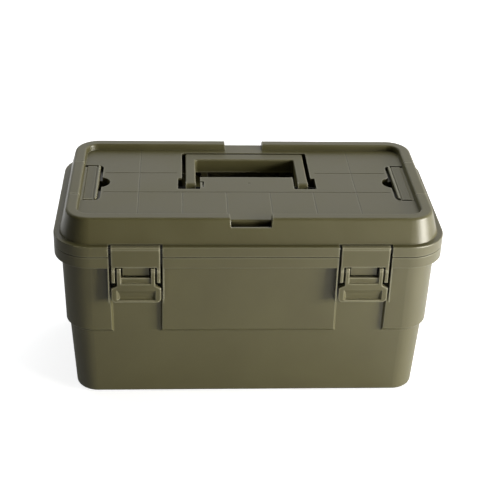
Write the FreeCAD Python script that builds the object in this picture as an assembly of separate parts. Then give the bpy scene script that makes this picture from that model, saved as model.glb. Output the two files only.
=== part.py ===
import FreeCAD
import Part
import math
import os

from FreeCAD import Vector

os.makedirs("parts", exist_ok=True)

# A moulded toolbox: tub, hinged lid with a flush handle, two draw latches on the front,
# a stacking clip on each end of the lid, and a lift-out tray inside.
# Millimetres. X runs along the front, Y from the front to the back, Z up from the ground.

# Rim shared by tub and lid
rim_half_length = 218.0
rim_half_depth = 117.5
rim_corner_radius = 42.0
rim_skirt_wall = 3.3
rim_flange_thickness = 3.0
rim_edge_radius = 1.0
rim_meeting_radius = 0.5
seam_gap = 0.6

# Walls
wall = 3.0
panel_thickness = 2.8
well_wall = 2.5

# Allowances: how far a cutting shape runs past a face, and how far a joined-on shape reaches into its wall
overshoot = 1.0
embed = 2.0

# Heights of the tub, one on top of the other
foot_height = 5.0
lower_wall_height = 87.5
step_height = 5.0
upper_wall_height = 85.0
tub_rim_height = 13.5

# Insets and draft of the tub's walls, and its corner radii
rim_overhang = 7.5
upper_draft = 2.2
step_inset = 4.0
lower_draft = 4.6
upper_corner_radius = 34.5
lower_corner_radius = 29.0
base_corner_radius = 26.0
base_edge_radius = 4.0
foot_inset = 12.1
foot_corner_radius = 14.0
foot_edge_radius = 1.0

# Heights of the lid
lid_rim_height = 12.5
dome_height = 28.0
border_height = 7.1

# Lid dome, border and panel
shelf_width = 6.7
dome_draft = 8.0
dome_foot_radius = 35.5
border_corner_radius = 27.0
border_width = 12.5
border_inner_radius = 14.5
border_inner_draft = 1.0
border_outer_radius = 3.5
border_edge_radius = 2.4
border_core_wall = 3.0
border_core_depth = 4.0
lip_height = 4.5
lip_clearance = 0.7
lip_wall = 2.6

# Grooves of the panel, a square grid
grid_pitch = 50.0
groove_width = 1.1
groove_depth = 0.3
gate_mark_radius = 1.6
gate_mark_x = 2.4
gate_mark_y = -2.2
groove_end_gap = 3.0
groove_well_gap = 6.0

# Notches in the border, for a box stacked on top
notch_half_width = 22.4
notch_side_draft = 0.8
notch_lip_drop = 3.0
notch_lip_wall = 2.4
notch_pocket_depth = 10.0
notch_pocket_inset = 9.3
notch_edge_radius = 2.4

# Handle and its well
handle_half_length = 71.2
handle_reach = 78.3
handle_arm_width = 11.8
handle_bar_width = 15.8
handle_thickness = 17.0
handle_edge_radius = 1.6
handle_corner_radius = 3.0
handle_shell = 2.4
handle_rib = 1.6
handle_rib_inset = 1.0
handle_rib_count = 6
handle_pin_radius = 2.5
handle_side_gap = 4.3
handle_back_gap = 2.7
handle_rest_gap = 0.4
handle_rest_inset = 11.4
handle_rest_width = 8.0
well_depth = 28.5
well_corner_radius = 3.4
pivot_slot_corner_radius = 1.6
well_front = 13.9
pivot_slot_inner_gap = 5.0
pivot_slot_outer_gap = 9.0
pivot_slot_front = -16.8
pivot_slot_back = 11.2
snap_finger_length = 12.0
snap_finger_width = 2.4
snap_slot_width = 2.0
snap_slot_depth = 2.2
pin_fit_clearance = 0.06

# Latches: place along the front, and the slot in the rims that they lie in
latch_end_distance = 91.8
latch_half_width = 26.8
latch_side_gap = 2.6
latch_slot_depth = 7.5
guard_rib_wall = 1.6
guard_rib_drop = 44.0
channel_slant = 2.8
channel_draft = 1.7
hasp_proud = 0.3
hasp_plate_thickness = 2.4
hasp_cheek_depth = 6.2
hasp_leg_width = 3.8
hasp_leg_drop = 44.9
hasp_plate_drop = 25.4
hasp_barrel_radius = 3.2
hasp_head_reach = 2.3
hasp_edge_radius = 0.7
hasp_nub_width = 1.8
hasp_nub_height = 0.45
small_pin_radius = 1.25

# Latch lever
lever_side_gap = 2.0
lever_top_gap = 1.0
lever_proud = 0.5
lever_thickness = 5.2
lever_pivot_drop = 3.8
lever_pivot_depth = 2.6
lever_rail_width = 4.6
lever_band_drop = 12.6
lever_band_height = 6.7
lever_band_recess = 1.8
lever_band_thickness = 3.0
lever_neck_drop = 22.0
lever_shoulder_height = 3.4
lever_edge_radius = 0.8
paddle_half_width = 27.6
paddle_drop = 43.6
paddle_corner_radius = 5.5
scoop_half_width = 21.5
scoop_drop = 27.2
scoop_height = 13.4
scoop_depth = 3.0
scoop_side_draft = 3.4
scoop_lead = 2.5
scoop_heel_height = 2.2
scoop_lip_height = 0.5
catch_side_gap = 1.5
catch_slant = 5.0
catch_edge_radius = 0.6
catch_low_gap = 1.2
catch_gap = 0.35
catch_top_gap = 1.2

# Stacking clips at the lid's ends
clip_half_length = 43.0
clip_corner_radius = 4.0
clip_lip_thickness = 1.4
clip_border_gap = 0.9
clip_end_gap = 2.7
clip_lip_gap = 3.4
clip_reach = 31.8
clip_wall = 3.0
clip_ridge_width = 3.0
clip_ridge_height = 1.3
clip_groove_width = 1.8
clip_groove_depth = 1.0
clip_foot_groove_width = 2.4
clip_groove_run = 0.8
clip_riser_low = 2.4
clip_riser_high = 3.2
clip_outer_wall = 2.6
clip_elbow_out = 0.6
clip_elbow_rise = 2.0
clip_apron_drop = 20.0
clip_axis_drop = 17.2
clip_barrel_radius = 3.6
clip_trough_clearance = 0.8
clip_trough_room = 2.6
clip_trough_depth = 1.6
clip_floor_gap = 2.0
clip_pin_radius = 1.5
clip_pin_seat = 2.6
pocket_corner_radius = 8.0
finger_hole_radius = 13.4
finger_hole_depth = 16.0
finger_hole_inset = 0.5

# Rear hinges
hinge_end_distance = 91.8
hinge_knuckle_radius = 3.6
hinge_axis_gap = 0.4
hinge_knuckle_length = 9.0
hinge_knuckle_count = 5
hinge_knuckle_gap = 0.4
hinge_pin_radius = 1.5
hinge_block_height = 8.0
hinge_fill_margin = 2.0
hinge_arm_start = 0.8
stop_heel_reach = 4.4
stop_heel_height = 1.8

# Tray, its rests and its dividers
tray_rest_height = 118.0
tray_height = 52.0
tray_end_clearance = 2.8
tray_side_clearance = 0.5
tray_draft = 2.4
tray_wall = 2.2
tray_corner_radius = 24.0
tray_lip = 0.8
tray_lip_height = 3.0
tray_edge_radius = 2.0
tray_seat_gap = 0.3
tray_rest_width = 6.0
tray_rest_offset = 52.0
tray_rest_reach = 6.5
grip_half_length = 65.0
grip_rise = 12.0
grip_hole_half_length = 47.0
grip_hole_height = 20.0
grip_hole_margin = 7.0
grip_wall = 3.0
grip_corner_share = 0.7
grip_hole_corner_share = 0.4
slot_pitch = 66.0
slot_rib = 1.6
divider_thickness = 2.0
divider_clearance = 0.15
divider_height = 44.0
divider_left_column = -1
divider_right_column = 1

# Levels and lines that follow from the sizes above
z_base = foot_height
z_step = z_base + lower_wall_height
z_upper = z_step + step_height
z_tub_rim = z_upper + upper_wall_height
z_tub_top = z_tub_rim + tub_rim_height
z_seam = z_tub_top + seam_gap
z_rim_top = z_seam + lid_rim_height
z_top = z_rim_top + dome_height
z_panel = z_top - border_height
z_panel_under = z_panel - panel_thickness

body_half_length = rim_half_length - rim_overhang
body_half_depth = rim_half_depth - rim_overhang
step_half_length = body_half_length - upper_draft - step_inset
step_half_depth = body_half_depth - upper_draft - step_inset
dome_half_length = rim_half_length - shelf_width
dome_half_depth = rim_half_depth - shelf_width
border_half_length = dome_half_length - dome_draft
border_half_depth = dome_half_depth - dome_draft
panel_half_length = border_half_length - border_width
panel_half_depth = border_half_depth - border_width
front = -rim_half_depth
slot_back = front + latch_slot_depth
slot_half_width = latch_half_width + latch_side_gap
latch_offset = rim_half_length - latch_end_distance
hinge_offset = rim_half_length - hinge_end_distance
handle_inner = handle_half_length - handle_arm_width
pivot_slot_inner = handle_inner - pivot_slot_inner_gap
pivot_slot_outer = handle_half_length + pivot_slot_outer_gap
handle_rest_offset = handle_inner - handle_rest_inset
handle_axis_z = z_panel - handle_thickness / 2
hinge_axis_y = rim_half_depth + hinge_axis_gap
hinge_axis_z = z_seam - seam_gap / 2
hasp_axis_y = front - hasp_proud + hasp_barrel_radius
hasp_axis_z = z_rim_top - hasp_barrel_radius
hasp_front = front - hasp_proud
lever_top = z_rim_top - hasp_plate_drop - lever_top_gap
lever_axis_z = lever_top - lever_pivot_drop
lever_axis_y = hasp_front + lever_pivot_depth
lever_front = hasp_front - lever_proud
band_back = lever_front + lever_band_recess + lever_band_thickness
clip_axis_z = z_top - clip_axis_drop
clip_tip_x = border_half_length - clip_reach
lever_half_width = latch_half_width - hasp_leg_width - lever_side_gap
window_half = lever_half_width - lever_rail_width
catch_half_width = window_half - catch_side_gap
catch_height = lever_band_drop - catch_top_gap - catch_low_gap
tray_half_length = body_half_length - upper_draft - wall - tray_end_clearance
tray_half_depth = step_half_depth - wall - tray_side_clearance

# The bounding box is centred: the hinge knuckles reach further back than the levers reach forward
back_extent = hinge_axis_y + stop_heel_reach
front_extent = -lever_front
centre_shift = (front_extent - back_extent) / 2


def dome_half_length_at(z):
    """Half length of the dome's outer wall at a height."""
    return dome_half_length - dome_draft * (z - z_rim_top) / dome_height


def block(x0, x1, y0, y1, z0, z1):
    """Box between two corners."""
    return Part.makeBox(x1 - x0, y1 - y0, z1 - z0, Vector(x0, y0, z0))


def rod_x(x0, x1, y, z, radius):
    """Round bar along X."""
    return Part.makeCylinder(radius, x1 - x0, Vector(x0, y, z), Vector(1, 0, 0))


def rod_y(x, y0, y1, z, radius):
    """Round bar along Y."""
    return Part.makeCylinder(radius, y1 - y0, Vector(x, y0, z), Vector(0, 1, 0))


def rod_z(x, y, z0, z1, radius):
    """Round bar along Z."""
    return Part.makeCylinder(radius, z1 - z0, Vector(x, y, z0), Vector(0, 0, 1))


def along_x(points, x0, x1):
    """Outline of (y, z) points carried along X."""
    corners = [Vector(x0, y, z) for y, z in points]
    face = Part.Face(Part.makePolygon(corners + corners[:1]))
    return face.extrude(Vector(x1 - x0, 0, 0))


def along_y(points, y0, y1):
    """Outline of (x, z) points carried along Y."""
    corners = [Vector(x, y0, z) for x, z in points]
    face = Part.Face(Part.makePolygon(corners + corners[:1]))
    return face.extrude(Vector(0, y1 - y0, 0))


def along_z(points, z0, z1):
    """Outline of (x, y) points carried along Z."""
    corners = [Vector(x, y, z0) for x, y in points]
    face = Part.Face(Part.makePolygon(corners + corners[:1]))
    return face.extrude(Vector(0, 0, z1 - z0))


def rounded_outline(half_length, half_depth, radius, z):
    """Closed wire of a rectangle with round corners."""
    x, y, r = half_length, half_depth, radius
    diagonal = r * (1 - math.sqrt(0.5))
    edges = []
    for sx, sy in ((1, 1), (-1, 1), (-1, -1), (1, -1)):
        on_side = Vector(sx * x, sy * (y - r), z)
        on_front = Vector(sx * (x - r), sy * y, z)
        middle = Vector(sx * (x - diagonal), sy * (y - diagonal), z)
        ends = (on_side, on_front) if sx * sy > 0 else (on_front, on_side)
        edges.append((ends[0], middle, ends[1]))
    wire = []
    for index, (start, middle, end) in enumerate(edges):
        wire.append(Part.Arc(start, middle, end).toShape())
        following = edges[(index + 1) % 4][0]
        wire.append(Part.LineSegment(end, following).toShape())
    return Part.Wire(wire)


def slab(half_length, half_depth, radius, z0, z1):
    """Upright block with round corners."""
    face = Part.Face(rounded_outline(half_length, half_depth, radius, z0))
    return face.extrude(Vector(0, 0, z1 - z0))


def drafted(low, high):
    """Solid between two rounded rectangles, each (half length, half depth, radius, z)."""
    return Part.makeLoft([rounded_outline(*low), rounded_outline(*high)], True, True)


def fuse(shapes):
    """One solid from several."""
    return shapes[0].multiFuse(shapes[1:]).removeSplitter()


def cut(shape, tools):
    """Shape with several tools taken away."""
    return shape.cut(tools).removeSplitter()


def mirrored(shape):
    """Copy on the other side of the middle plane."""
    return shape.mirror(Vector(0, 0, 0), Vector(1, 0, 0))


def both_sides(shape):
    """The shape and its mirror image."""
    return [shape, mirrored(shape)]


def rounded(shape, radius, wanted):
    """Shape with the edges that the test picks rounded off."""
    edges = [edge for edge in shape.Edges if wanted(edge.BoundBox)]
    return shape.makeFillet(radius, edges)


def level_at(z, tolerance=0.01):
    """Test for edges that lie flat at a height."""
    return lambda box: abs(box.ZMin - z) < tolerance and abs(box.ZMax - z) < tolerance


def knuckle_span(index):
    """X range of a hinge knuckle, counted from one end."""
    total = hinge_knuckle_count * hinge_knuckle_length
    start = hinge_offset - total / 2 + index * hinge_knuckle_length
    return start + hinge_knuckle_gap / 2, start + hinge_knuckle_length - hinge_knuckle_gap / 2


# Tub
def tub_wall(offset):
    """Solid filled by the tub's walls, drawn inwards by an offset, without channels."""
    drop = offset * 0.35
    lower = drafted(
        (step_half_length - lower_draft - offset, step_half_depth - lower_draft - offset,
         base_corner_radius - offset, z_base + offset),
        (step_half_length - offset, step_half_depth - offset, lower_corner_radius - offset,
         z_step + drop))
    step = drafted(
        (step_half_length - offset, step_half_depth - offset, lower_corner_radius - offset,
         z_step + drop),
        (body_half_length - upper_draft - offset, body_half_depth - upper_draft - offset,
         upper_corner_radius - upper_draft - offset, z_upper + drop))
    upper = drafted(
        (body_half_length - upper_draft - offset, body_half_depth - upper_draft - offset,
         upper_corner_radius - upper_draft - offset, z_upper + drop),
        (body_half_length - offset, body_half_depth - offset, upper_corner_radius - offset, z_tub_top))
    return lower, step, upper


def channel_core(offset, margin):
    """Solid whose front face is the channel floor, drawn inwards by an offset."""
    return drafted(
        (step_half_length - offset, step_half_depth - offset, lower_corner_radius - offset,
         z_step - margin),
        (step_half_length + channel_draft - offset, step_half_depth + channel_draft - offset,
         lower_corner_radius + channel_draft - offset, z_tub_top + margin))


def make_tub():
    lower, step, upper = tub_wall(0.0)
    lower = rounded(lower, base_edge_radius, level_at(z_base))
    shell = fuse([lower, step, upper])

    # Channels under the latches, down to the line of the lower wall
    floor_half = slot_half_width - channel_slant
    deep = front + rim_overhang + upper_draft + step_inset
    channel = along_z([(latch_offset - slot_half_width, front), (latch_offset + slot_half_width, front),
                       (latch_offset + slot_half_width, front + rim_overhang),
                       (latch_offset + floor_half, deep), (latch_offset - floor_half, deep),
                       (latch_offset - slot_half_width, front + rim_overhang)],
                      z_step, z_tub_rim)
    channel = channel.cut(channel_core(0.0, overshoot))
    shell = cut(shell, both_sides(channel))

    # Rim: a flange with a skirt, open underneath
    rim = slab(rim_half_length, rim_half_depth, rim_corner_radius, z_tub_rim, z_tub_top)
    rim = rounded(rim, rim_edge_radius, level_at(z_tub_rim))
    rim = rounded(rim, rim_meeting_radius, level_at(z_tub_top))
    hollow = slab(rim_half_length - rim_skirt_wall, rim_half_depth - rim_skirt_wall,
                  rim_corner_radius - rim_skirt_wall, z_tub_rim - overshoot,
                  z_tub_top - rim_flange_thickness)
    rim = rim.cut(hollow)

    # Guard ribs beside each latch, and the filled stretches of the rim behind the hinges
    ribs = []
    for side in (-1, 1):
        inner = latch_offset + side * slot_half_width
        outer = inner + side * guard_rib_wall
        foot = z_tub_rim - guard_rib_drop
        ribs += both_sides(block(min(inner, outer), max(inner, outer), front, -step_half_depth + embed,
                                 foot, z_tub_top - rim_flange_thickness / 2))
    hinge_half = hinge_knuckle_count * hinge_knuckle_length / 2 + hinge_fill_margin
    fill = block(hinge_offset - hinge_half, hinge_offset + hinge_half, body_half_depth - wall / 2,
                 rim_half_depth - rim_skirt_wall / 2, z_tub_rim, z_tub_top)
    tub = fuse([shell, rim] + ribs + both_sides(fill))

    # Latch slots through the rim
    slot = block(latch_offset - slot_half_width, latch_offset + slot_half_width, front - overshoot,
                 slot_back, z_tub_rim - overshoot / 2, z_tub_top + overshoot)
    tub = cut(tub, both_sides(slot))

    # Catches behind the lever windows
    catch_top = lever_top - catch_top_gap
    catch_front = band_back + catch_gap
    catch = along_x([(catch_front, catch_top), (-step_half_depth + embed / 2, catch_top),
                     (-step_half_depth + embed / 2, catch_top - catch_height - catch_slant),
                     (catch_front, catch_top - catch_height)],
                    latch_offset - catch_half_width, latch_offset + catch_half_width)
    catch = rounded(catch, catch_edge_radius, lambda box: box.YMax < catch_front + 0.1)

    # Stacking foot under the base
    foot = slab(step_half_length - lower_draft - foot_inset, step_half_depth - lower_draft - foot_inset,
                foot_corner_radius, 0.0, z_base + embed / 2)
    foot = rounded(foot, foot_edge_radius, level_at(0.0))

    # Hinge knuckles on the outside of the rim
    arm_edge = hinge_axis_y + math.sqrt(hinge_knuckle_radius ** 2 - hinge_arm_start ** 2)
    knuckles = []
    for index in range(0, hinge_knuckle_count, 2):
        x0, x1 = knuckle_span(index)
        arm = along_x([(rim_half_depth - embed, z_tub_top - hinge_block_height),
                       (rim_half_depth, z_tub_top - hinge_block_height),
                       (arm_edge, hinge_axis_z - hinge_arm_start),
                       (hinge_axis_y, hinge_axis_z),
                       (rim_half_depth - embed, z_tub_top)], x0, x1)
        knuckles.append(rod_x(x0, x1, hinge_axis_y, hinge_axis_z, hinge_knuckle_radius).fuse(arm))
    clearances = []
    for index in range(1, hinge_knuckle_count, 2):
        x0, x1 = knuckle_span(index)
        clearances.append(rod_x(x0 - hinge_knuckle_gap, x1 + hinge_knuckle_gap, hinge_axis_y, hinge_axis_z,
                                hinge_knuckle_radius + hinge_knuckle_gap))
    tub = cut(tub, sum([both_sides(tool) for tool in clearances], []))
    tub = fuse([tub, foot] + both_sides(catch) + sum([both_sides(part) for part in knuckles], []))
    total = hinge_knuckle_count * hinge_knuckle_length
    bore = rod_x(hinge_offset - total / 2 - overshoot, hinge_offset + total / 2 + overshoot, hinge_axis_y,
                 hinge_axis_z, hinge_pin_radius)
    tub = cut(tub, both_sides(bore))

    # Inside: the hollow follows the walls, steps in behind each channel and drops into the foot
    inner_lower, inner_step, inner_upper = tub_wall(wall)
    mouth = slab(body_half_length - wall, body_half_depth - wall, upper_corner_radius - wall,
                 z_tub_top - 0.01, z_tub_top + overshoot)
    hollow = fuse([inner_lower, inner_step, inner_upper, mouth])
    keep = block(latch_offset - slot_half_width - wall, latch_offset + slot_half_width + wall,
                 front, -step_half_depth + wall + upper_draft + step_inset, z_step, z_tub_rim + wall)
    keep = keep.cut(channel_core(wall, overshoot))
    hollow = hollow.cut(both_sides(keep))
    sump = slab(step_half_length - lower_draft - foot_inset - wall,
                step_half_depth - lower_draft - foot_inset - wall,
                foot_corner_radius - wall, wall, z_base + wall + overshoot / 2)
    rests = []
    for side in (-1, 1):
        y = side * tray_rest_offset
        rests.append(block(tray_half_length - tray_rest_reach, body_half_length, y - tray_rest_width / 2,
                           y + tray_rest_width / 2, z_base + wall, tray_rest_height))
    hollow = fuse([hollow, sump])
    hollow = cut(hollow, sum([both_sides(rest) for rest in rests], []))
    return cut(tub, [hollow])


# Lid
def make_lid():
    rim = slab(rim_half_length, rim_half_depth, rim_corner_radius, z_seam, z_rim_top)
    rim = rounded(rim, rim_edge_radius, level_at(z_rim_top))
    rim = rounded(rim, rim_meeting_radius, level_at(z_seam))
    dome = drafted((dome_half_length, dome_half_depth, dome_foot_radius, z_rim_top),
                   (border_half_length, border_half_depth, border_corner_radius, z_top))
    dome = rounded(dome, border_outer_radius, level_at(z_top))
    lip = slab(body_half_length - wall - lip_clearance, body_half_depth - wall - lip_clearance,
               upper_corner_radius - wall - lip_clearance, z_seam - lip_height, z_rim_top)
    solid = fuse([rim, dome, lip])

    # Sunk panel inside the border
    recess = drafted((panel_half_length - border_inner_draft, panel_half_depth - border_inner_draft,
                      border_inner_radius - border_inner_draft, z_panel),
                     (panel_half_length, panel_half_depth, border_inner_radius, z_top))
    crown = slab(panel_half_length, panel_half_depth, border_inner_radius, z_top, z_top + overshoot)
    solid = cut(solid, [fuse([recess, crown])])
    inner_edge = level_at(z_top)
    solid = rounded(solid, border_edge_radius, lambda box: inner_edge(box)
                    and box.XMax < panel_half_length + 0.1 and box.XMin > -panel_half_length - 0.1
                    and box.YMax < panel_half_depth + 0.1 and box.YMin > -panel_half_depth - 0.1)

    # Hollow from below: room under the panel, channel behind the skirt, core under the border
    lip_half_length = body_half_length - wall - lip_clearance - lip_wall
    lip_half_depth = body_half_depth - wall - lip_clearance - lip_wall
    lip_radius = upper_corner_radius - wall - lip_clearance - lip_wall
    under_half_length = dome_half_length_at(z_panel_under) - wall
    under_half_depth = under_half_length - border_half_length + border_half_depth
    room = drafted((lip_half_length, lip_half_depth, lip_radius, z_seam - lip_height - overshoot),
                   (under_half_length, under_half_depth, border_corner_radius, z_panel_under))
    ring_inner_length = body_half_length - wall
    ring_inner_depth = body_half_depth - wall
    channel = slab(rim_half_length - rim_skirt_wall, rim_half_depth - rim_skirt_wall,
                   rim_corner_radius - rim_skirt_wall, z_seam - overshoot, z_rim_top - rim_flange_thickness)
    channel = channel.cut(slab(ring_inner_length, ring_inner_depth, upper_corner_radius - wall,
                               z_seam - 2 * overshoot, z_rim_top))
    core = slab(border_half_length - border_core_wall, border_half_depth - border_core_wall,
                border_corner_radius - border_core_wall, z_panel_under - overshoot,
                z_panel + border_core_depth)
    core = core.cut(slab(panel_half_length + border_core_wall, panel_half_depth + border_core_wall,
                         border_inner_radius + border_core_wall, z_panel_under - 2 * overshoot, z_top))
    hollow = fuse([room, core])

    # Notches in the border: the front one ends in a pocket behind a low lip in the dome's face
    pocket_back = -border_half_depth + notch_pocket_inset
    pocket_low = z_panel - notch_pocket_depth
    notch_lip_top = z_panel - notch_lip_drop
    lip_face = -border_half_depth - dome_draft * (border_height + notch_lip_drop) / dome_height
    lip_back = lip_face + notch_lip_wall
    notch_front = along_x([(pocket_back, z_panel), (pocket_back, pocket_low), (lip_back, pocket_low),
                           (lip_back, notch_lip_top), (front, notch_lip_top), (front, z_top + overshoot),
                           (-panel_half_depth + embed, z_top + overshoot),
                           (-panel_half_depth + embed, z_panel)], -rim_half_depth, rim_half_depth)
    notch_front = rounded(notch_front, notch_edge_radius, lambda box: box.YLength < 0.01
                          and abs(box.YMin - pocket_back) < 0.01 and abs(box.ZMax - z_panel) < 0.01
                          and box.ZLength < 0.01)
    notch_back = block(-rim_half_depth, rim_half_depth, panel_half_depth - embed, rim_half_depth,
                       z_panel, z_top + overshoot)
    notch_low = notch_half_width - notch_side_draft * notch_pocket_depth / border_height
    notch_high = notch_half_width + notch_side_draft * (border_height + overshoot) / border_height
    notch_sides = along_y([(-notch_low, pocket_low), (notch_low, pocket_low),
                           (notch_high, z_top + overshoot), (-notch_high, z_top + overshoot)],
                          -rim_half_depth, rim_half_depth)
    notches = [notch_front.common(notch_sides), notch_back.common(notch_sides)]
    keep_half = notch_high + wall
    notch_keep = block(-keep_half, keep_half, front, pocket_back + wall, pocket_low - wall, z_top)
    back_keep = block(-keep_half, keep_half, panel_half_depth, rim_half_depth, z_panel_under, z_top)

    # Handle well with a slot for each arm's pivot, and rests under the bar
    well_half = handle_half_length + handle_side_gap
    well_back = handle_reach + handle_back_gap
    well_floor = z_panel - well_depth
    well_keep = block(-well_half - well_wall, well_half + well_wall, well_front - well_wall,
                      well_back + well_wall, well_floor - well_wall, z_panel_under + overshoot)
    pivot_keep = block(pivot_slot_inner - well_wall, pivot_slot_outer + well_wall,
                       pivot_slot_front - well_wall, pivot_slot_back + well_wall,
                       well_floor - well_wall, z_panel_under + overshoot)
    well = block(-well_half, well_half, well_front, well_back, well_floor, z_panel + overshoot)
    well = rounded(well, well_corner_radius, lambda box: box.ZLength > handle_thickness)
    pivot_slot = block(pivot_slot_inner, pivot_slot_outer, pivot_slot_front, pivot_slot_back,
                       well_floor, z_panel + overshoot)
    pivot_slot = rounded(pivot_slot, pivot_slot_corner_radius, lambda box: box.ZLength > handle_thickness
                         and (box.YMax < 0.0 or box.XMin > well_half))
    arm_passage = block(pivot_slot_inner, well_half, 0.0, well_front + embed, well_floor,
                        z_panel + overshoot)
    rest_low = handle_rest_offset - handle_rest_width / 2
    rest = block(rest_low, rest_low + handle_rest_width, well_back - handle_rest_width, well_back,
                 well_floor - overshoot, z_panel - handle_thickness - handle_rest_gap)
    well = fuse([well] + both_sides(pivot_slot) + both_sides(arm_passage))
    well = cut(well, both_sides(rest))
    snap_x = -pivot_slot_inner + snap_finger_width
    snap_back = handle_pin_radius
    snap_slot = fuse([
        block(snap_x, snap_x + snap_slot_width, snap_back - snap_finger_length - snap_slot_width,
              snap_back, z_panel - snap_slot_depth, z_panel + overshoot),
        block(-pivot_slot_inner - overshoot, snap_x + snap_slot_width, snap_back - snap_slot_width,
              snap_back, z_panel - snap_slot_depth, z_panel + overshoot)])

    # Clip pockets at both ends, each with a hinge trough and a finger hole
    border_gap_half = clip_half_length + clip_border_gap
    pocket_half = clip_half_length + clip_end_gap
    pocket_in = clip_tip_x - clip_lip_gap
    pocket_floor = z_panel - clip_wall - clip_floor_gap
    axis_x = dome_half_length_at(clip_axis_z) - clip_barrel_radius
    trough_in = axis_x - clip_barrel_radius - clip_trough_clearance - clip_trough_room
    trough_floor = clip_axis_z - clip_barrel_radius - clip_trough_clearance - clip_trough_depth
    hole_x = clip_tip_x + finger_hole_inset
    hole_floor = z_panel - finger_hole_depth
    pocket_keep = fuse([
        block(pocket_in - well_wall, body_half_length, -pocket_half - wall, pocket_half + wall,
              pocket_floor - well_wall, z_top),
        block(trough_in - well_wall, body_half_length, -border_gap_half - wall, border_gap_half + wall,
              trough_floor - well_wall, z_top),
        rod_z(hole_x, 0.0, hole_floor - well_wall, z_panel, finger_hole_radius + well_wall)])
    inner_pocket = block(pocket_in, panel_half_length, -pocket_half, pocket_half, pocket_floor,
                         z_panel + overshoot)
    inner_pocket = rounded(inner_pocket, pocket_corner_radius,
                           lambda box: box.XMax < pocket_in + 0.1 and box.ZLength > clip_wall)
    inner_pocket = inner_pocket.cut(block(panel_half_length - border_inner_draft, rim_half_length,
                                          -pocket_half - overshoot, pocket_half + overshoot,
                                          pocket_floor - overshoot, z_top))
    pocket = fuse([
        inner_pocket,
        block(panel_half_length - border_inner_draft - embed, rim_half_length, -border_gap_half,
              border_gap_half,
              pocket_floor, z_top + overshoot),
        block(trough_in, rim_half_length, -border_gap_half, border_gap_half, trough_floor,
              z_top + overshoot)])
    hole = rod_z(hole_x, 0.0, hole_floor, z_panel + overshoot, finger_hole_radius)
    hole = hole.cut(block(trough_in - well_wall, rim_half_length, -finger_hole_radius, finger_hole_radius,
                          hole_floor - overshoot, pocket_floor))
    clip_bore = rod_y(axis_x, -border_gap_half - clip_pin_seat, border_gap_half + clip_pin_seat, clip_axis_z,
                      clip_pin_radius)

    # Keep the walls of the latch slots, hinges and pin bosses out of the hollow
    latch_keep = block(latch_offset - slot_half_width - guard_rib_wall,
                       latch_offset + slot_half_width + guard_rib_wall,
                       front + rim_skirt_wall / 2, front + rim_overhang + wall, z_seam, z_rim_top)
    hinge_half = hinge_knuckle_count * hinge_knuckle_length / 2 + hinge_fill_margin
    hinge_keep = block(hinge_offset - hinge_half, hinge_offset + hinge_half,
                       body_half_depth - wall, rim_half_depth - rim_skirt_wall / 2, z_seam, z_rim_top)
    keeps = [notch_keep, back_keep, well_keep]
    for keep in (pivot_keep, pocket_keep):
        keeps += both_sides(keep)
    hollow = cut(hollow, keeps)
    channel = cut(channel, both_sides(latch_keep) + both_sides(hinge_keep))
    solid = cut(solid, [hollow, channel])

    # Cuts from above and from the front
    latch_slot = block(latch_offset - slot_half_width, latch_offset + slot_half_width, front - overshoot,
                       slot_back, z_seam - overshoot, z_rim_top + 0.01)
    cuts = notches + [well, snap_slot]
    for tool in (latch_slot, pocket, hole, clip_bore):
        cuts += both_sides(tool)
    solid = cut(solid, cuts)

    # Grid grooves and the gate mark
    groove_floor = z_panel - groove_depth
    groove_top = z_panel + overshoot / 2
    half = groove_width / 2
    groove_back = panel_half_depth - border_inner_draft - overshoot
    grooves = []
    for column in range(-2, 4):
        x = (column - 0.5) * grid_pitch
        whole = abs(x) > 2 * grid_pitch
        y1 = groove_back if whole else -grid_pitch / 2
        grooves.append(block(x - half, x + half, -groove_back, y1, groove_floor, groove_top))
    groove_end = pocket_in - groove_end_gap
    row = grid_pitch / 2
    grooves.append(block(-groove_end, groove_end, -row - half, -row + half, groove_floor, groove_top))
    grooves += both_sides(block(well_half + groove_well_gap, groove_end, row - half, row + half,
                                groove_floor, groove_top))
    mark = rod_z(gate_mark_x, gate_mark_y, groove_floor, groove_top, gate_mark_radius)
    solid = cut(solid, grooves + [mark])

    # Knuckles of the rear hinges with their stop heels, and the bores for all pins
    arm_edge = hinge_axis_y + math.sqrt(hinge_knuckle_radius ** 2 - hinge_arm_start ** 2)
    knuckles = []
    for index in range(1, hinge_knuckle_count, 2):
        x0, x1 = knuckle_span(index)
        heel = hinge_axis_y + stop_heel_reach
        heel_low = hinge_axis_z + hinge_arm_start
        arm_top = hinge_axis_z + hinge_block_height
        arm = along_x([(rim_half_depth - embed, z_seam), (hinge_axis_y, hinge_axis_z),
                       (arm_edge, heel_low), (heel, heel_low), (heel, heel_low + stop_heel_height),
                       (rim_half_depth, arm_top), (rim_half_depth - embed, arm_top)], x0, x1)
        knuckles.append(rod_x(x0, x1, hinge_axis_y, hinge_axis_z, hinge_knuckle_radius).fuse(arm))
    clearances = []
    for index in range(0, hinge_knuckle_count, 2):
        x0, x1 = knuckle_span(index)
        clearances.append(rod_x(x0 - hinge_knuckle_gap, x1 + hinge_knuckle_gap, hinge_axis_y, hinge_axis_z,
                                hinge_knuckle_radius + hinge_knuckle_gap))
    solid = cut(solid, sum([both_sides(tool) for tool in clearances], []))
    solid = fuse([solid] + sum([both_sides(part) for part in knuckles], []))
    total = hinge_knuckle_count * hinge_knuckle_length
    hinge_bore = rod_x(hinge_offset - total / 2 - overshoot, hinge_offset + total / 2 + overshoot,
                       hinge_axis_y, hinge_axis_z, hinge_pin_radius + pin_fit_clearance)
    handle_bore = rod_x(pivot_slot_inner - well_wall - overshoot,
                        pivot_slot_outer + well_wall + overshoot, 0.0,
                        handle_axis_z, handle_pin_radius)
    hasp_bore = rod_x(latch_offset - slot_half_width - guard_rib_wall,
                      latch_offset + slot_half_width + guard_rib_wall, hasp_axis_y, hasp_axis_z,
                      small_pin_radius)
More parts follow.
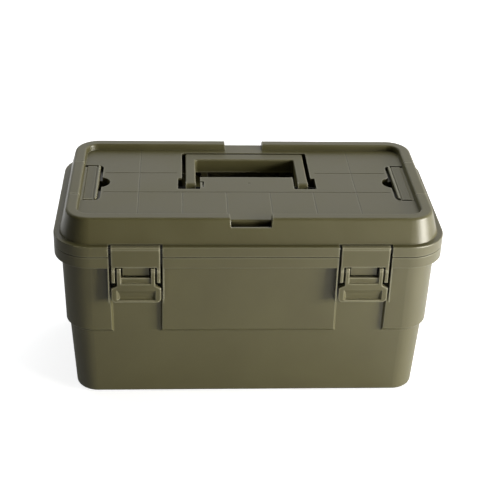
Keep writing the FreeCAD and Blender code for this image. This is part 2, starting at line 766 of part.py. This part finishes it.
    return cut(solid, both_sides(hinge_bore) + both_sides(handle_bore) + both_sides(hasp_bore))


# Handle
def make_handle():
    inner = handle_inner
    bar_front = handle_reach - handle_bar_width
    low = z_panel - handle_thickness
    arm_radius = handle_thickness / 2
    outline = [(-handle_half_length, 0.0), (-handle_half_length, handle_reach),
               (handle_half_length, handle_reach), (handle_half_length, 0.0),
               (inner, 0.0), (inner, bar_front), (-inner, bar_front), (-inner, 0.0)]
    frame = along_z(outline, low, z_panel)
    upright = handle_thickness - 0.1
    frame = rounded(frame, handle_corner_radius, lambda box: box.ZLength > upright
                    and box.YMin > bar_front - 1.0)
    frame = rounded(frame, handle_edge_radius, lambda box: box.ZMin > z_panel - 0.01)
    ends = [rod_x(inner, handle_half_length, 0.0, handle_axis_z, arm_radius),
            rod_x(-handle_half_length, -inner, 0.0, handle_axis_z, arm_radius)]
    frame = fuse([frame] + ends)

    # Hollow underneath, crossed by ribs
    ceiling = z_panel - handle_shell
    bar_hollow = block(-handle_half_length + handle_shell, handle_half_length - handle_shell,
                       bar_front + handle_shell, handle_reach - handle_shell, low - overshoot, ceiling)
    arm_hollow = block(inner + handle_shell, handle_half_length - handle_shell, arm_radius + handle_shell,
                       handle_reach - handle_shell, low - overshoot, ceiling)
    hollow = fuse([bar_hollow] + both_sides(arm_hollow))
    pitch = 2 * inner / (handle_rib_count - 1)
    ribs = []
    for index in range(handle_rib_count):
        x = -inner + index * pitch
        ribs.append(block(x - handle_rib / 2, x + handle_rib / 2, bar_front, handle_reach,
                          low + handle_rib_inset, z_panel))
    hollow = cut(hollow, ribs)
    bore = rod_x(inner - overshoot, handle_half_length + overshoot, 0.0, handle_axis_z,
                 handle_pin_radius + pin_fit_clearance)
    return cut(frame, [hollow] + both_sides(bore))


# Draw latch, drawn for the right side
def make_hasp():
    inner = latch_half_width - hasp_leg_width
    plate_low = z_rim_top - hasp_plate_drop
    leg_low = z_rim_top - hasp_leg_drop
    barrel = rod_x(-latch_half_width, latch_half_width, hasp_axis_y, hasp_axis_z, hasp_barrel_radius)
    plate = along_x([(hasp_front, plate_low), (hasp_front + hasp_plate_thickness, plate_low),
                     (hasp_front + hasp_plate_thickness, hasp_axis_z),
                     (hasp_axis_y + hasp_barrel_radius - 0.01, hasp_axis_z),
                     (hasp_axis_y + hasp_head_reach, z_rim_top), (hasp_front, z_rim_top)],
                    -latch_half_width, latch_half_width)
    legs = []
    for side in (-1, 1):
        x0, x1 = sorted((side * inner, side * latch_half_width))
        legs.append(block(x0, x1, hasp_front, hasp_front + hasp_cheek_depth, leg_low, hasp_axis_z))
    frame = fuse([plate] + legs)
    frame = rounded(frame, hasp_edge_radius, lambda box: box.YMax < hasp_front + 0.01)
    nub = block(-hasp_nub_width / 2, hasp_nub_width / 2, hasp_front + hasp_edge_radius,
                hasp_front + hasp_plate_thickness, plate_low - hasp_nub_height, plate_low + embed / 2)
    hasp = fuse([barrel, frame, nub])
    bore = rod_x(-latch_half_width - overshoot, latch_half_width + overshoot, hasp_axis_y, hasp_axis_z,
                 small_pin_radius + pin_fit_clearance)
    pin_bore = rod_x(-latch_half_width - overshoot, latch_half_width + overshoot, lever_axis_y,
                     lever_axis_z, small_pin_radius)
    hasp = cut(hasp, [bore, pin_bore])
    hasp.translate(Vector(latch_offset, 0, 0))
    return hasp


def make_lever():
    back = lever_front + lever_thickness
    band_top = lever_top - lever_band_drop
    band_low = band_top - lever_band_height
    neck_low = lever_top - lever_neck_drop
    shoulder_low = neck_low - lever_shoulder_height
    paddle_low = lever_top - paddle_drop
    half_outline = [(window_half, band_low), (window_half, lever_top), (lever_half_width, lever_top),
                    (lever_half_width, neck_low), (paddle_half_width, shoulder_low),
                    (paddle_half_width, paddle_low)]
    outline = half_outline + [(-x, z) for x, z in reversed(half_outline)]
    plate = along_y(outline, lever_front, back)
    plate = rounded(plate, paddle_corner_radius, lambda box: box.YLength > 1.0
                    and box.ZMax < paddle_low + 0.1)
    plate = rounded(plate, lever_edge_radius, lambda box: box.YMax < lever_front + 0.01)
    plate = rounded(plate, lever_edge_radius, lambda box: box.YMin > back - 0.01
                    and box.ZMin > lever_top - 0.01)
    band = block(-window_half - embed / 2, window_half + embed / 2, lever_front + lever_band_recess,
                 band_back,
                 band_low - embed / 2, band_top)

    # Finger scoop with slanted ends: shallow at the top, deepest above its lower lip
    scoop_top = lever_top - scoop_drop
    scoop_low = scoop_top - scoop_height
    scoop = along_x([(lever_front - overshoot, scoop_top + scoop_lead), (lever_front, scoop_top),
                     (lever_front + scoop_depth * 0.7, scoop_top - scoop_height * 0.4),
                     (lever_front + scoop_depth, scoop_low + scoop_heel_height),
                     (lever_front + scoop_depth * 0.8, scoop_low + scoop_lip_height),
                     (lever_front, scoop_low), (lever_front - overshoot, scoop_low)],
                    -paddle_half_width, paddle_half_width)
    deep_half = scoop_half_width - scoop_side_draft
    open_half = scoop_half_width + scoop_side_draft * overshoot / scoop_depth
    ends = along_z([(-open_half, lever_front - overshoot), (open_half, lever_front - overshoot),
                    (deep_half, lever_front + scoop_depth), (-deep_half, lever_front + scoop_depth)],
                   scoop_low - overshoot, scoop_top + scoop_lead + overshoot)
    bore = rod_x(-lever_half_width - overshoot, lever_half_width + overshoot, lever_axis_y, lever_axis_z,
                 small_pin_radius + pin_fit_clearance)
    lever = cut(fuse([plate, band]), [scoop.common(ends), bore])
    lever.translate(Vector(latch_offset, 0, 0))
    return lever


def make_hasp_pin():
    half = slot_half_width + guard_rib_wall
    return rod_x(latch_offset - half, latch_offset + half, hasp_axis_y, hasp_axis_z, small_pin_radius)


def make_lever_pins():
    pins = [rod_x(latch_offset + window_half, latch_offset + latch_half_width, lever_axis_y,
                  lever_axis_z, small_pin_radius),
            rod_x(latch_offset - latch_half_width, latch_offset - window_half, lever_axis_y,
                  lever_axis_z, small_pin_radius)]
    return Part.makeCompound(pins)


# Stacking clip, drawn for the right end
def make_clip():
    axis_x = dome_half_length_at(clip_axis_z) - clip_barrel_radius
    low = z_top - clip_apron_drop
    tip = clip_tip_x
    inner_top = panel_half_length
    foot_x = inner_top - border_inner_draft
    foot_z = z_panel - clip_groove_depth
    ridge_x = tip + clip_ridge_width
    flat_under = z_panel - clip_wall
    lip_under = flat_under - clip_lip_thickness
    top_under = z_top - clip_wall
    outline = [(dome_half_length_at(low), low), (border_half_length, z_top), (inner_top, z_top),
               (foot_x, foot_z), (foot_x - clip_foot_groove_width, foot_z),
               (foot_x - clip_foot_groove_width - clip_groove_run, z_panel),
               (ridge_x + clip_groove_width, z_panel), (ridge_x + clip_groove_width - 0.5, foot_z),
               (ridge_x, foot_z), (ridge_x - 0.3, z_panel + clip_ridge_height),
               (tip + 0.9, z_panel + clip_ridge_height), (tip, z_panel + 0.3), (tip, lip_under),
               (tip + clip_wall, lip_under), (tip + clip_wall + 1.0, flat_under),
               (foot_x + clip_riser_low, flat_under), (foot_x + clip_riser_high, top_under),
               (border_half_length - clip_outer_wall, top_under),
               (axis_x + clip_elbow_out, clip_axis_z + clip_elbow_rise),
               (dome_half_length_at(low) - clip_wall, low)]
    body = along_y(outline, -clip_half_length, clip_half_length)
    body = rounded(body, border_outer_radius, lambda box: box.ZMin > z_top - 0.01
                   and box.XMin > border_half_length - 0.1)
    body = rounded(body, border_edge_radius, lambda box: box.ZMin > z_top - 0.01
                   and box.XMax < inner_top + 0.1)
    plan = slab(border_half_length, clip_half_length, clip_corner_radius, low - overshoot,
                z_top + overshoot)
    plan.translate(Vector(tip + border_half_length, 0, 0))
    body = body.common(plan)
    barrel = rod_y(axis_x, -clip_half_length, clip_half_length, clip_axis_z, clip_barrel_radius)
    bore = rod_y(axis_x, -clip_half_length - overshoot, clip_half_length + overshoot, clip_axis_z,
                 clip_pin_radius + pin_fit_clearance)
    return cut(fuse([body, barrel]), [bore])


def make_clip_pin():
    axis_x = dome_half_length_at(clip_axis_z) - clip_barrel_radius
    half = clip_half_length + clip_border_gap + clip_pin_seat
    return rod_y(axis_x, -half, half, clip_axis_z, clip_pin_radius)


def make_handle_pin():
    return rod_x(pivot_slot_inner - well_wall, pivot_slot_outer + well_wall, 0.0, handle_axis_z,
                 handle_pin_radius)


def make_hinge_pin():
    half = hinge_knuckle_count * hinge_knuckle_length / 2
    return rod_x(hinge_offset - half, hinge_offset + half, hinge_axis_y, hinge_axis_z, hinge_pin_radius)


# Tray with its grip wall and divider slots
def make_tray():
    z0 = tray_rest_height + tray_seat_gap
    z1 = z0 + tray_height
    outside = drafted((tray_half_length - tray_draft, tray_half_depth - tray_draft,
                       tray_corner_radius - tray_draft, z0),
                      (tray_half_length, tray_half_depth, tray_corner_radius, z1))
    outside = rounded(outside, tray_edge_radius, level_at(z0))
    lip = slab(tray_half_length + tray_lip, tray_half_depth + tray_lip, tray_corner_radius + tray_lip,
               z1 - tray_lip_height, z1)
    inside = drafted((tray_half_length - tray_draft - tray_wall, tray_half_depth - tray_draft - tray_wall,
                      tray_corner_radius - tray_draft - tray_wall, z0 + tray_wall),
                     (tray_half_length - tray_wall, tray_half_depth - tray_wall,
                      tray_corner_radius - tray_wall, z1 + 0.01))
    tray = cut(fuse([outside, lip]), [inside])

    middle = block(-tray_half_length + tray_wall / 2, tray_half_length - tray_wall / 2,
                   -grip_wall / 2, grip_wall / 2, z0 + tray_wall / 2, z1)
    grip = block(-grip_half_length, grip_half_length, -grip_wall / 2, grip_wall / 2, z1 - embed / 2,
                 z1 + grip_rise)
    grip = rounded(grip, grip_rise * grip_corner_share, lambda box: box.YLength > 1.0
                   and box.ZMin > z1 + grip_rise - 0.1)
    hole_top = z1 + grip_rise - grip_hole_margin
    hole = block(-grip_hole_half_length, grip_hole_half_length, -grip_wall, grip_wall,
                 hole_top - grip_hole_height, hole_top)
    hole = rounded(hole, grip_hole_height * grip_hole_corner_share,
                   lambda box: box.YLength > 1.0 and box.XLength < 1.0
                   and box.ZLength < 1.0)
    middle = cut(fuse([middle, grip]), [hole])

    ribs = []
    half_slot = divider_thickness / 2 + divider_clearance
    rib_top = z0 + divider_height
    rib_out = tray_half_depth - tray_wall / 2
    rib_in = tray_half_depth - tray_draft - tray_wall - slot_rib
    middle_out = grip_wall / 2 + slot_rib
    for column in (-2, -1, 1, 2):
        for side in (-1, 1):
            x = column * slot_pitch + side * (half_slot + slot_rib / 2)
            for y0, y1 in ((-rib_out, -rib_in), (-middle_out, middle_out), (rib_in, rib_out)):
                ribs.append(block(x - slot_rib / 2, x + slot_rib / 2, y0, y1, z0 + tray_wall / 2, rib_top))
    return fuse([tray, middle] + ribs)


def make_divider(x, side):
    """Plate between the tray's middle wall and its front (-1) or back (1) wall."""
    z0 = tray_rest_height + tray_seat_gap + tray_wall
    near = grip_wall / 2 + divider_clearance
    far_low = tray_half_depth - tray_draft - tray_wall - divider_clearance
    outline = [(side * near, z0), (side * far_low, z0), (side * far_low, z0 + divider_height),
               (side * near, z0 + divider_height)]
    return along_x(outline, x - divider_thickness / 2, x + divider_thickness / 2)


def export(name, shape):
    """Write one piece, moved so that the bounding box is centred."""
    placed = shape.copy()
    placed.translate(Vector(0, centre_shift, 0))
    placed.exportStep("parts/" + name + ".step")
    box = placed.BoundBox
    print(f"{name:26s} solids {len(placed.Solids)} valid {placed.isValid()} volume {placed.Volume:10.0f}"
          f"  x {box.XMin:7.1f} {box.XMax:7.1f}  y {box.YMin:7.1f} {box.YMax:7.1f}"
          f"  z {box.ZMin:6.1f} {box.ZMax:6.1f}")


def export_pair(name, shape):
    """Write a piece drawn for the right side and its mirror image on the left."""
    export(name + "_right", shape)
    export(name + "_left", mirrored(shape))


export("tub", make_tub())
export("lid", make_lid())
export("handle", make_handle())
export_pair("handle_pin", make_handle_pin())
export_pair("hasp", make_hasp())
export_pair("hasp_pin", make_hasp_pin())
export_pair("latch_lever", make_lever())
export_pair("lever_pins", make_lever_pins())
export_pair("stacking_clip", make_clip())
export_pair("clip_pin", make_clip_pin())
export_pair("hinge_pin", make_hinge_pin())
export("tray", make_tray())
export("tray_divider_left", make_divider(divider_left_column * slot_pitch, -1))
export("tray_divider_right", make_divider(divider_right_column * slot_pitch, 1))
print("centre shift", round(centre_shift, 3))
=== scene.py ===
import bpy
import math
from mathutils import Matrix, Vector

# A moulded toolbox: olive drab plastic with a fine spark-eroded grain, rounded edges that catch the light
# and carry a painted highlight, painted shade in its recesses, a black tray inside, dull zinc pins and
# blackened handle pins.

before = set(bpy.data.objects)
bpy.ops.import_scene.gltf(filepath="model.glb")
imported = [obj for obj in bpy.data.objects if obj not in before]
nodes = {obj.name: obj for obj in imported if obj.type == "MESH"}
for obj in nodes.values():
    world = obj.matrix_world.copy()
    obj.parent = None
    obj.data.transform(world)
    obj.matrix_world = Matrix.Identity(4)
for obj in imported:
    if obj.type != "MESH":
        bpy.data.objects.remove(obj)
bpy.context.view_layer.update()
print("frame loaded:", len(nodes), "nodes")


# Small helpers for node trees. An input is given as a plain value or as another node's output.
def addNode(tree, kind, inputs=None, **settings):
    node = tree.nodes.new(kind)
    for key, value in settings.items():
        setattr(node, key, value)
    for key, value in (inputs or {}).items():
        if isinstance(value, bpy.types.NodeSocket):
            tree.links.new(value, node.inputs[key])
        else:
            node.inputs[key].default_value = value
    return node


def addMath(tree, operation, first, second):
    return addNode(tree, "ShaderNodeMath", {0: first, 1: second}, operation=operation).outputs["Value"]


def addMix(tree, kind, factor, first, second):
    mix = addNode(tree, "ShaderNodeMix", {"Factor": factor, "A": first, "B": second}, data_type=kind)
    return mix.outputs["Result"]


def addRamp(tree, value, start, end, low=0.0, high=1.0, **settings):
    limits = {"From Min": start, "From Max": end, "To Min": low, "To Max": high}
    return addNode(tree, "ShaderNodeMapRange", {"Value": value, **limits}, **settings).outputs["Result"]


def rgba(colour):
    return (*colour, 1.0)


def emptyTree(owner):
    owner.use_nodes = True
    owner.node_tree.nodes.clear()
    return owner.node_tree


def newGroup(name, inputs, outputs):
    group = bpy.data.node_groups.new(name, "ShaderNodeTree")
    for label, kind in inputs:
        group.interface.new_socket(label, in_out="INPUT", socket_type=kind)
    for label, kind in outputs:
        group.interface.new_socket(label, in_out="OUTPUT", socket_type=kind)
    return group, group.nodes.new("NodeGroupInput").outputs, group.nodes.new("NodeGroupOutput").inputs


# Effects that several finishes share
# Grain left by the spark-eroded mould: fine pits over a broader waviness, and patches of uneven pigment
grainLook = {"pits": {"Detail": 2.0, "Roughness": 0.6},
             "peel": {"Scale": 90.0, "Detail": 2.0, "Roughness": 0.5},
             "patches": {"Scale": 14.0, "Detail": 3.0, "Roughness": 0.55, "Distortion": 0.4}}


def makeMouldGrain(look):
    group, given, result = newGroup("mouldGrain",
                                    [("Vector", "NodeSocketVector"), ("Grain Scale", "NodeSocketFloat"),
                                     ("Orange Peel", "NodeSocketFloat")],
                                    [("Height", "NodeSocketFloat"), ("Patches", "NodeSocketFloat")])
    place = given["Vector"]
    pits = addNode(group, "ShaderNodeTexNoise",
                   {"Vector": place, "Scale": given["Grain Scale"], **look["pits"]})
    peel = addNode(group, "ShaderNodeTexNoise", {"Vector": place, **look["peel"]})
    patches = addNode(group, "ShaderNodeTexNoise", {"Vector": place, **look["patches"]})
    height = addMix(group, "FLOAT", given["Orange Peel"], pits.outputs["Fac"], peel.outputs["Fac"])
    group.links.new(height, result["Height"])
    group.links.new(patches.outputs["Fac"], result["Patches"])
    return group


# Rounded edges: a normal softened over the edge's radius, and a mask of where the edge stands out. The mask
# takes a spot whose softened normal has turned, or one with little solid behind it. The mask places the
# painted highlight along the edges and their smoother gloss.
edgeLook = {"samples": 6, "agreementFlat": 0.995, "agreementEdge": 0.86,
            "depthInRadii": 1.9, "depthSamples": 8, "solidFlat": 0.92, "solidEdge": 0.60}


def makeSoftEdge(look):
    group, given, result = newGroup("softEdge", [("Radius", "NodeSocketFloat")],
                                    [("Normal", "NodeSocketVector"), ("Edge", "NodeSocketFloat")])
    radius = given["Radius"]
    bevel = addNode(group, "ShaderNodeBevel", {"Radius": radius}, samples=look["samples"])
    softened = bevel.outputs["Normal"]
    plain = addNode(group, "ShaderNodeNewGeometry").outputs["True Normal"]
    agreement = addNode(group, "ShaderNodeVectorMath", {0: softened, 1: plain}, operation="DOT_PRODUCT")
    turned = addRamp(group, agreement.outputs["Value"], look["agreementFlat"], look["agreementEdge"])
    depth = addMath(group, "MULTIPLY", radius, look["depthInRadii"])
    solid = addNode(group, "ShaderNodeAmbientOcclusion", {"Distance": depth}, samples=look["depthSamples"],
                    inside=True, only_local=True)
    outside = addRamp(group, solid.outputs["AO"], look["solidFlat"], look["solidEdge"])
    group.links.new(softened, result["Normal"])
    group.links.new(addMath(group, "MAXIMUM", turned, outside), result["Edge"])
    return group


# Recesses: how open a spot is, judged from the walls near it, its own piece's and the neighbours'. Spots
# that are less open get painted shade.
recessSamples = 8


def makeRecessShade():
    group, given, result = newGroup("recessShadeGroup", [("Reach", "NodeSocketFloat")], [("Open", "NodeSocketFloat")])
    closeness = addNode(group, "ShaderNodeAmbientOcclusion", {"Distance": given["Reach"]},
                        samples=recessSamples)
    group.links.new(closeness.outputs["AO"], result["Open"])
    return group


mouldGrain = makeMouldGrain(grainLook)
softEdge = makeSoftEdge(edgeLook)
recessShadeGroup = makeRecessShade()
print("shared effects made")

# The part of a noise's range that most of it lies in
noiseLow, noiseHigh = 0.3, 0.7


# Moulded plastic, used with its own values on each piece
def makePlastic(name, look):
    material = bpy.data.materials.new(name)
    tree = emptyTree(material)
    place = addNode(tree, "ShaderNodeTexCoord").outputs["Object"]
    grain = addNode(tree, "ShaderNodeGroup",
                    {"Vector": place, "Grain Scale": look["grainScale"], "Orange Peel": look["orangePeel"]},
                    node_tree=mouldGrain).outputs
    edge = addNode(tree, "ShaderNodeGroup", {"Radius": look["edgeRadius"]}, node_tree=softEdge).outputs
    hollow = addNode(tree, "ShaderNodeGroup", {"Reach": look["paintedShadeReach"]}, node_tree=recessShadeGroup).outputs

    # Colour: slightly uneven pigment, a painted highlight along the edges, painted shade in recesses
    spread = addRamp(tree, grain["Patches"], noiseLow, noiseHigh)
    pigment = addMix(tree, "RGBA", spread, rgba(look["colourDark"]), rgba(look["colourLight"]))
    # Painted highlight: edges are mixed towards a pale colour that stands in for the light they catch
    paintedHighlightAmount = addMath(tree, "MULTIPLY", edge["Edge"], look["paintedHighlightAmount"])
    paintedHighlit = addMix(tree, "RGBA", paintedHighlightAmount, pigment, rgba(look["colourPaintedHighlight"]))
    # Painted shade: closed-in spots are mixed towards near black, which stands in for the shade in recesses
    # and gaps
    openness = addRamp(tree, hollow["Open"], look["paintedShadeFrom"], look["paintedShadeTo"])
    shaded = addMix(tree, "RGBA", openness, rgba(look["colourPaintedShade"]), paintedHighlit)

    # Gloss: a little uneven from patch to patch, smoother on the edges
    gloss = addRamp(tree, grain["Patches"], noiseLow, noiseHigh, look["roughLow"], look["roughHigh"])
    polished = addMix(tree, "FLOAT", edge["Edge"], gloss, look["roughEdge"])

    # Relief of the grain over the softened edges
    relief = addNode(tree, "ShaderNodeBump",
                     {"Strength": look["grainStrength"], "Distance": look["grainDepth"],
                      "Height": grain["Height"], "Normal": edge["Normal"]})
    shader = addNode(tree, "ShaderNodeBsdfPrincipled",
                     {"IOR": look["ior"], "Specular IOR Level": look["specular"], "Base Color": shaded,
                      "Roughness": polished, "Normal": relief.outputs["Normal"]})
    addNode(tree, "ShaderNodeOutputMaterial", {"Surface": shader.outputs["BSDF"]})
    return material


def dress(material, *names):
    for name in names:
        piece = nodes[name]
        piece.data.materials.clear()
        piece.data.materials.append(material)


# Tub and lid: the same olive plastic, with a matte grain
# The pale edge colour is a painted highlight. The near-black recess colour is painted shade.
shellLook = {
    "colourDark": (0.098, 0.088, 0.035), "colourLight": (0.112, 0.102, 0.042),
    "colourPaintedHighlight": (0.300, 0.290, 0.200), "colourPaintedShade": (0.003, 0.003, 0.002),
    "paintedHighlightAmount": 0.6, "paintedShadeReach": 0.015, "paintedShadeFrom": 0.12, "paintedShadeTo": 0.68,
    "roughLow": 0.34, "roughHigh": 0.42, "roughEdge": 0.26, "ior": 1.5, "specular": 0.85,
    "grainScale": 1300.0, "orangePeel": 0.35, "grainStrength": 0.35, "grainDepth": 0.00012,
    "edgeRadius": 0.0010}
shellPlastic = makePlastic("olivePlasticShell", shellLook)
dress(shellPlastic, "tub", "lid")

# Handle, latches and clips: the same pigment from smoother moulds, with a stronger painted highlight on
# their edges
fittingLook = dict(shellLook)
fittingLook.update({"colourPaintedHighlight": (0.420, 0.400, 0.280), "paintedHighlightAmount": 0.7, "roughLow": 0.36,
                    "roughEdge": 0.22, "grainScale": 1900.0, "grainDepth": 0.00008, "edgeRadius": 0.0012,
                    "paintedShadeReach": 0.006, "paintedShadeFrom": 0.05, "paintedShadeTo": 0.46, "specular": 0.75})
fittingPlastic = makePlastic("olivePlasticFittings", fittingLook)
dress(fittingPlastic, "handle", "hasp_left", "hasp_right", "latch_lever_left", "latch_lever_right",
      "stacking_clip_left", "stacking_clip_right")

# Tray and dividers: black plastic
trayLook = dict(shellLook)
trayLook.update({"colourDark": (0.016, 0.016, 0.015), "colourLight": (0.024, 0.024, 0.022),
                 "colourPaintedHighlight": (0.060, 0.060, 0.058), "colourPaintedShade": (0.006, 0.006, 0.006),
                 "roughLow": 0.44, "roughHigh": 0.55})
trayPlastic = makePlastic("blackPlasticTray", trayLook)
dress(trayPlastic, "tray", "tray_divider_left", "tray_divider_right")
print("plastics made")

# Pins: zinc plated steel wire, dulled, with drawing lines
pinLook = {"colour": (0.18, 0.18, 0.17), "colourDull": (0.12, 0.12, 0.11),
           "roughLow": 0.40, "roughHigh": 0.55, "lineStretch": (0.08, 1.0, 1.0),
           "lines": {"Scale": 900.0, "Detail": 3.0, "Roughness": 0.6},
           "bloom": {"Scale": 160.0, "Detail": 4.0}, "relief": {"Strength": 0.4, "Distance": 0.00003}}


def makePinSteel(name, look):
    material = bpy.data.materials.new(name)
    tree = emptyTree(material)
    place = addNode(tree, "ShaderNodeTexCoord").outputs["Object"]
    stretched = addNode(tree, "ShaderNodeMapping", {"Vector": place, "Scale": look["lineStretch"]})
    lines = addNode(tree, "ShaderNodeTexNoise", {"Vector": stretched.outputs["Vector"], **look["lines"]})
    bloom = addNode(tree, "ShaderNodeTexNoise", {"Vector": place, **look["bloom"]})
    tone = addMix(tree, "RGBA", bloom.outputs["Fac"], rgba(look["colour"]), rgba(look["colourDull"]))
    gloss = addRamp(tree, lines.outputs["Fac"], noiseLow, noiseHigh, look["roughLow"], look["roughHigh"])
    relief = addNode(tree, "ShaderNodeBump", {"Height": lines.outputs["Fac"], **look["relief"]})
    shader = addNode(tree, "ShaderNodeBsdfPrincipled",
                     {"Metallic": 1.0, "Base Color": tone, "Roughness": gloss,
                      "Normal": relief.outputs["Normal"]})
    addNode(tree, "ShaderNodeOutputMaterial", {"Surface": shader.outputs["BSDF"]})
    return material


pinSteel = makePinSteel("zincPlatedPins", pinLook)
dress(pinSteel, *[name for name in nodes if "pin" in name])

# Handle pins: the same wire, blackened
darkPinLook = dict(pinLook)
darkPinLook.update({"colour": (0.030, 0.030, 0.029), "colourDull": (0.018, 0.018, 0.017)})
darkSteel = makePinSteel("blackenedPins", darkPinLook)
dress(darkSteel, "handle_pin_left", "handle_pin_right")
print("pins dressed")

# Floor: pale paper that keeps the shadow. The camera sees it lifted to white, reflections see it bright only
# behind the box and on the right, and it throws less light back on the left.
floorLook = {"size": 8.0, "colour": (0.80, 0.80, 0.80), "cameraLift": 0.77,
             "glossyNear": 0.1, "glossyFar": 0.9, "behindFrom": 0.1, "behindTo": 0.5,
             "rightFrom": 0.15, "rightTo": 0.40,
             "bounceLeft": 0.28, "bounceFrom": -0.35, "bounceTo": 0.15}
white = (1.0, 1.0, 1.0)
black = (0.0, 0.0, 0.0)


def makePaper(look):
    paper = bpy.data.materials.new("paleFloor")
    tree = emptyTree(paper)
    rays = addNode(tree, "ShaderNodeLightPath").outputs
    place = addNode(tree, "ShaderNodeTexCoord").outputs["Object"]
    spot = addNode(tree, "ShaderNodeSeparateXYZ", {"Vector": place}).outputs

    # Light added for the camera and for reflections
    seen = addMath(tree, "MULTIPLY", rays["Is Camera Ray"], look["cameraLift"])
    behind = addRamp(tree, spot["Y"], look["behindFrom"], look["behindTo"],
                     look["glossyNear"], look["glossyFar"])
    beside = addRamp(tree, spot["X"], look["rightFrom"], look["rightTo"],
                     look["glossyNear"], look["glossyFar"])
    brighter = addMath(tree, "MAXIMUM", behind, beside)
    mirrored = addMath(tree, "MULTIPLY", rays["Is Glossy Ray"], brighter)
    strength = addMath(tree, "ADD", seen, mirrored)
    lift = addNode(tree, "ShaderNodeEmission", {"Color": rgba(white), "Strength": strength})

    # Light thrown back: all of it to the camera, less of it on the left
    share = addRamp(tree, spot["X"], look["bounceFrom"], look["bounceTo"], look["bounceLeft"], 1.0)
    shown = addMath(tree, "MAXIMUM", rays["Is Camera Ray"], share)
    bounce = addMix(tree, "RGBA", shown, rgba(black), rgba(look["colour"]))
    matte = addNode(tree, "ShaderNodeBsdfDiffuse", {"Color": bounce})
    both = addNode(tree, "ShaderNodeAddShader", {0: matte.outputs["BSDF"], 1: lift.outputs["Emission"]})
    addNode(tree, "ShaderNodeOutputMaterial", {"Surface": both.outputs["Shader"]})
    return paper


bpy.ops.object.select_all(action="DESELECT")
bpy.ops.mesh.primitive_plane_add(size=floorLook["size"], location=(0, 0, 0))
floor = bpy.context.object
floor.name = "floor"
floor.data.materials.append(makePaper(floorLook))

# World: white to the camera. All else sees a bright backdrop behind the box, little light from behind the
# camera, and less of it from the ceiling and from the left. What isn't a reflection gets the soft share.
worldLook = {"toCamera": 1.0, "backdrop": 0.8, "behindCamera": 0.032, "wrapFrom": -0.02, "wrapTo": 0.36,
             "ceilingShare": 0.10, "ceilingFrom": 0.72, "ceilingTo": 0.95, "softShare": 0.85,
             "leftShare": 0.15, "leftFrom": -0.8, "leftTo": 0.0}


def makeStudio(look):
    studio = bpy.data.worlds.new("studio")
    tree = emptyTree(studio)
    direction = addNode(tree, "ShaderNodeTexCoord").outputs["Generated"]
    towards = addNode(tree, "ShaderNodeSeparateXYZ", {"Vector": direction}).outputs
    smooth = {"interpolation_type": "SMOOTHSTEP"}
    wrap = addRamp(tree, towards["Y"], look["wrapFrom"], look["wrapTo"],
                   look["behindCamera"], look["backdrop"], **smooth)
    dim = addRamp(tree, towards["Z"], look["ceilingFrom"], look["ceilingTo"],
                  1.0, look["ceilingShare"], **smooth)
    leftSide = addRamp(tree, towards["X"], look["leftFrom"], look["leftTo"],
                       look["leftShare"], 1.0, **smooth)
    sharp = addMath(tree, "MULTIPLY", addMath(tree, "MULTIPLY", wrap, dim), leftSide)
    soft = addMath(tree, "MULTIPLY", sharp, look["softShare"])
    rays = addNode(tree, "ShaderNodeLightPath").outputs
    unseen = addMix(tree, "FLOAT", rays["Is Glossy Ray"], soft, sharp)
    strength = addMix(tree, "FLOAT", rays["Is Camera Ray"], unseen, look["toCamera"])
    background = addNode(tree, "ShaderNodeBackground", {"Color": rgba(white), "Strength": strength})
    addNode(tree, "ShaderNodeOutputWorld", {"Surface": background.outputs["Background"]})
    return studio


bpy.context.scene.world = makeStudio(worldLook)

# Lamps: one broad soft light low on the right, weak ones in front, above and on the left
warm = (1.0, 0.975, 0.90)
cool = (0.90, 0.95, 1.0)
lamps = {
    "keyRight": {"place": (2.25, -1.20, 0.56), "aim": (0.0, 0.0, 0.12), "size": (1.2, 1.05), "power": 91.0,
                 "colour": warm, "inReflections": True},
    "fillFront": {"place": (0.8, -2.1, 0.35), "aim": (0.0, 0.0, 0.1), "size": (1.2, 0.6), "power": 4.8,
                  "colour": warm, "inReflections": False},
    "softAbove": {"place": (0.5, 0.5, 1.9), "aim": (0.0, 0.0, 0.2), "size": (1.0, 1.0), "power": 12.5,
                  "colour": white, "inReflections": False},
    "softLeft": {"place": (-1.5, 0.9, 0.75), "aim": (0.0, 0.0, 0.15), "size": (0.9, 0.9), "power": 8.0,
                 "colour": cool, "inReflections": False}}
for name, look in lamps.items():
    data = bpy.data.lights.new(name, "AREA")
    data.shape = "RECTANGLE"
    data.size, data.size_y = look["size"]
    data.energy = look["power"]
    data.color = look["colour"]
    lamp = bpy.data.objects.new(name, data)
    bpy.context.scene.collection.objects.link(lamp)
    lamp.location = look["place"]
    lamp.visible_glossy = look["inReflections"]
    aim = Vector(look["aim"]) - Vector(look["place"])
    lamp.rotation_euler = aim.to_track_quat("-Z", "Y").to_euler()
print("stage lit")

# Camera at the photograph's place
shot = {"place": (-0.07743, -1.23715, 0.83930), "pitch": 29.0, "yaw": 3.52, "roll": 1.72,
        "lens": 88.616, "sensor": 36.0, "shiftX": -0.008, "clip": (0.01, 50.0)}
pitch, yaw, roll = (math.radians(shot[key]) for key in ("pitch", "yaw", "roll"))
forward = Vector((math.sin(yaw) * math.cos(pitch), math.cos(yaw) * math.cos(pitch), -math.sin(pitch)))
level = Vector((math.cos(yaw), -math.sin(yaw), 0))
upright = level.cross(forward)
right = level * math.cos(roll) + upright * math.sin(roll)
up = -level * math.sin(roll) + upright * math.cos(roll)
cameraData = bpy.data.cameras.new("photoCamera")
cameraData.sensor_width = shot["sensor"]
cameraData.lens = shot["lens"]
cameraData.shift_x = shot["shiftX"]
cameraData.clip_start, cameraData.clip_end = shot["clip"]
photoCamera = bpy.data.objects.new("photoCamera", cameraData)
bpy.context.scene.collection.objects.link(photoCamera)
turn = Matrix((right, up, -forward)).transposed().to_4x4()
photoCamera.matrix_world = Matrix.Translation(Vector(shot["place"])) @ turn
bpy.context.scene.camera = photoCamera
bpy.context.scene.view_settings.view_transform = "Standard"
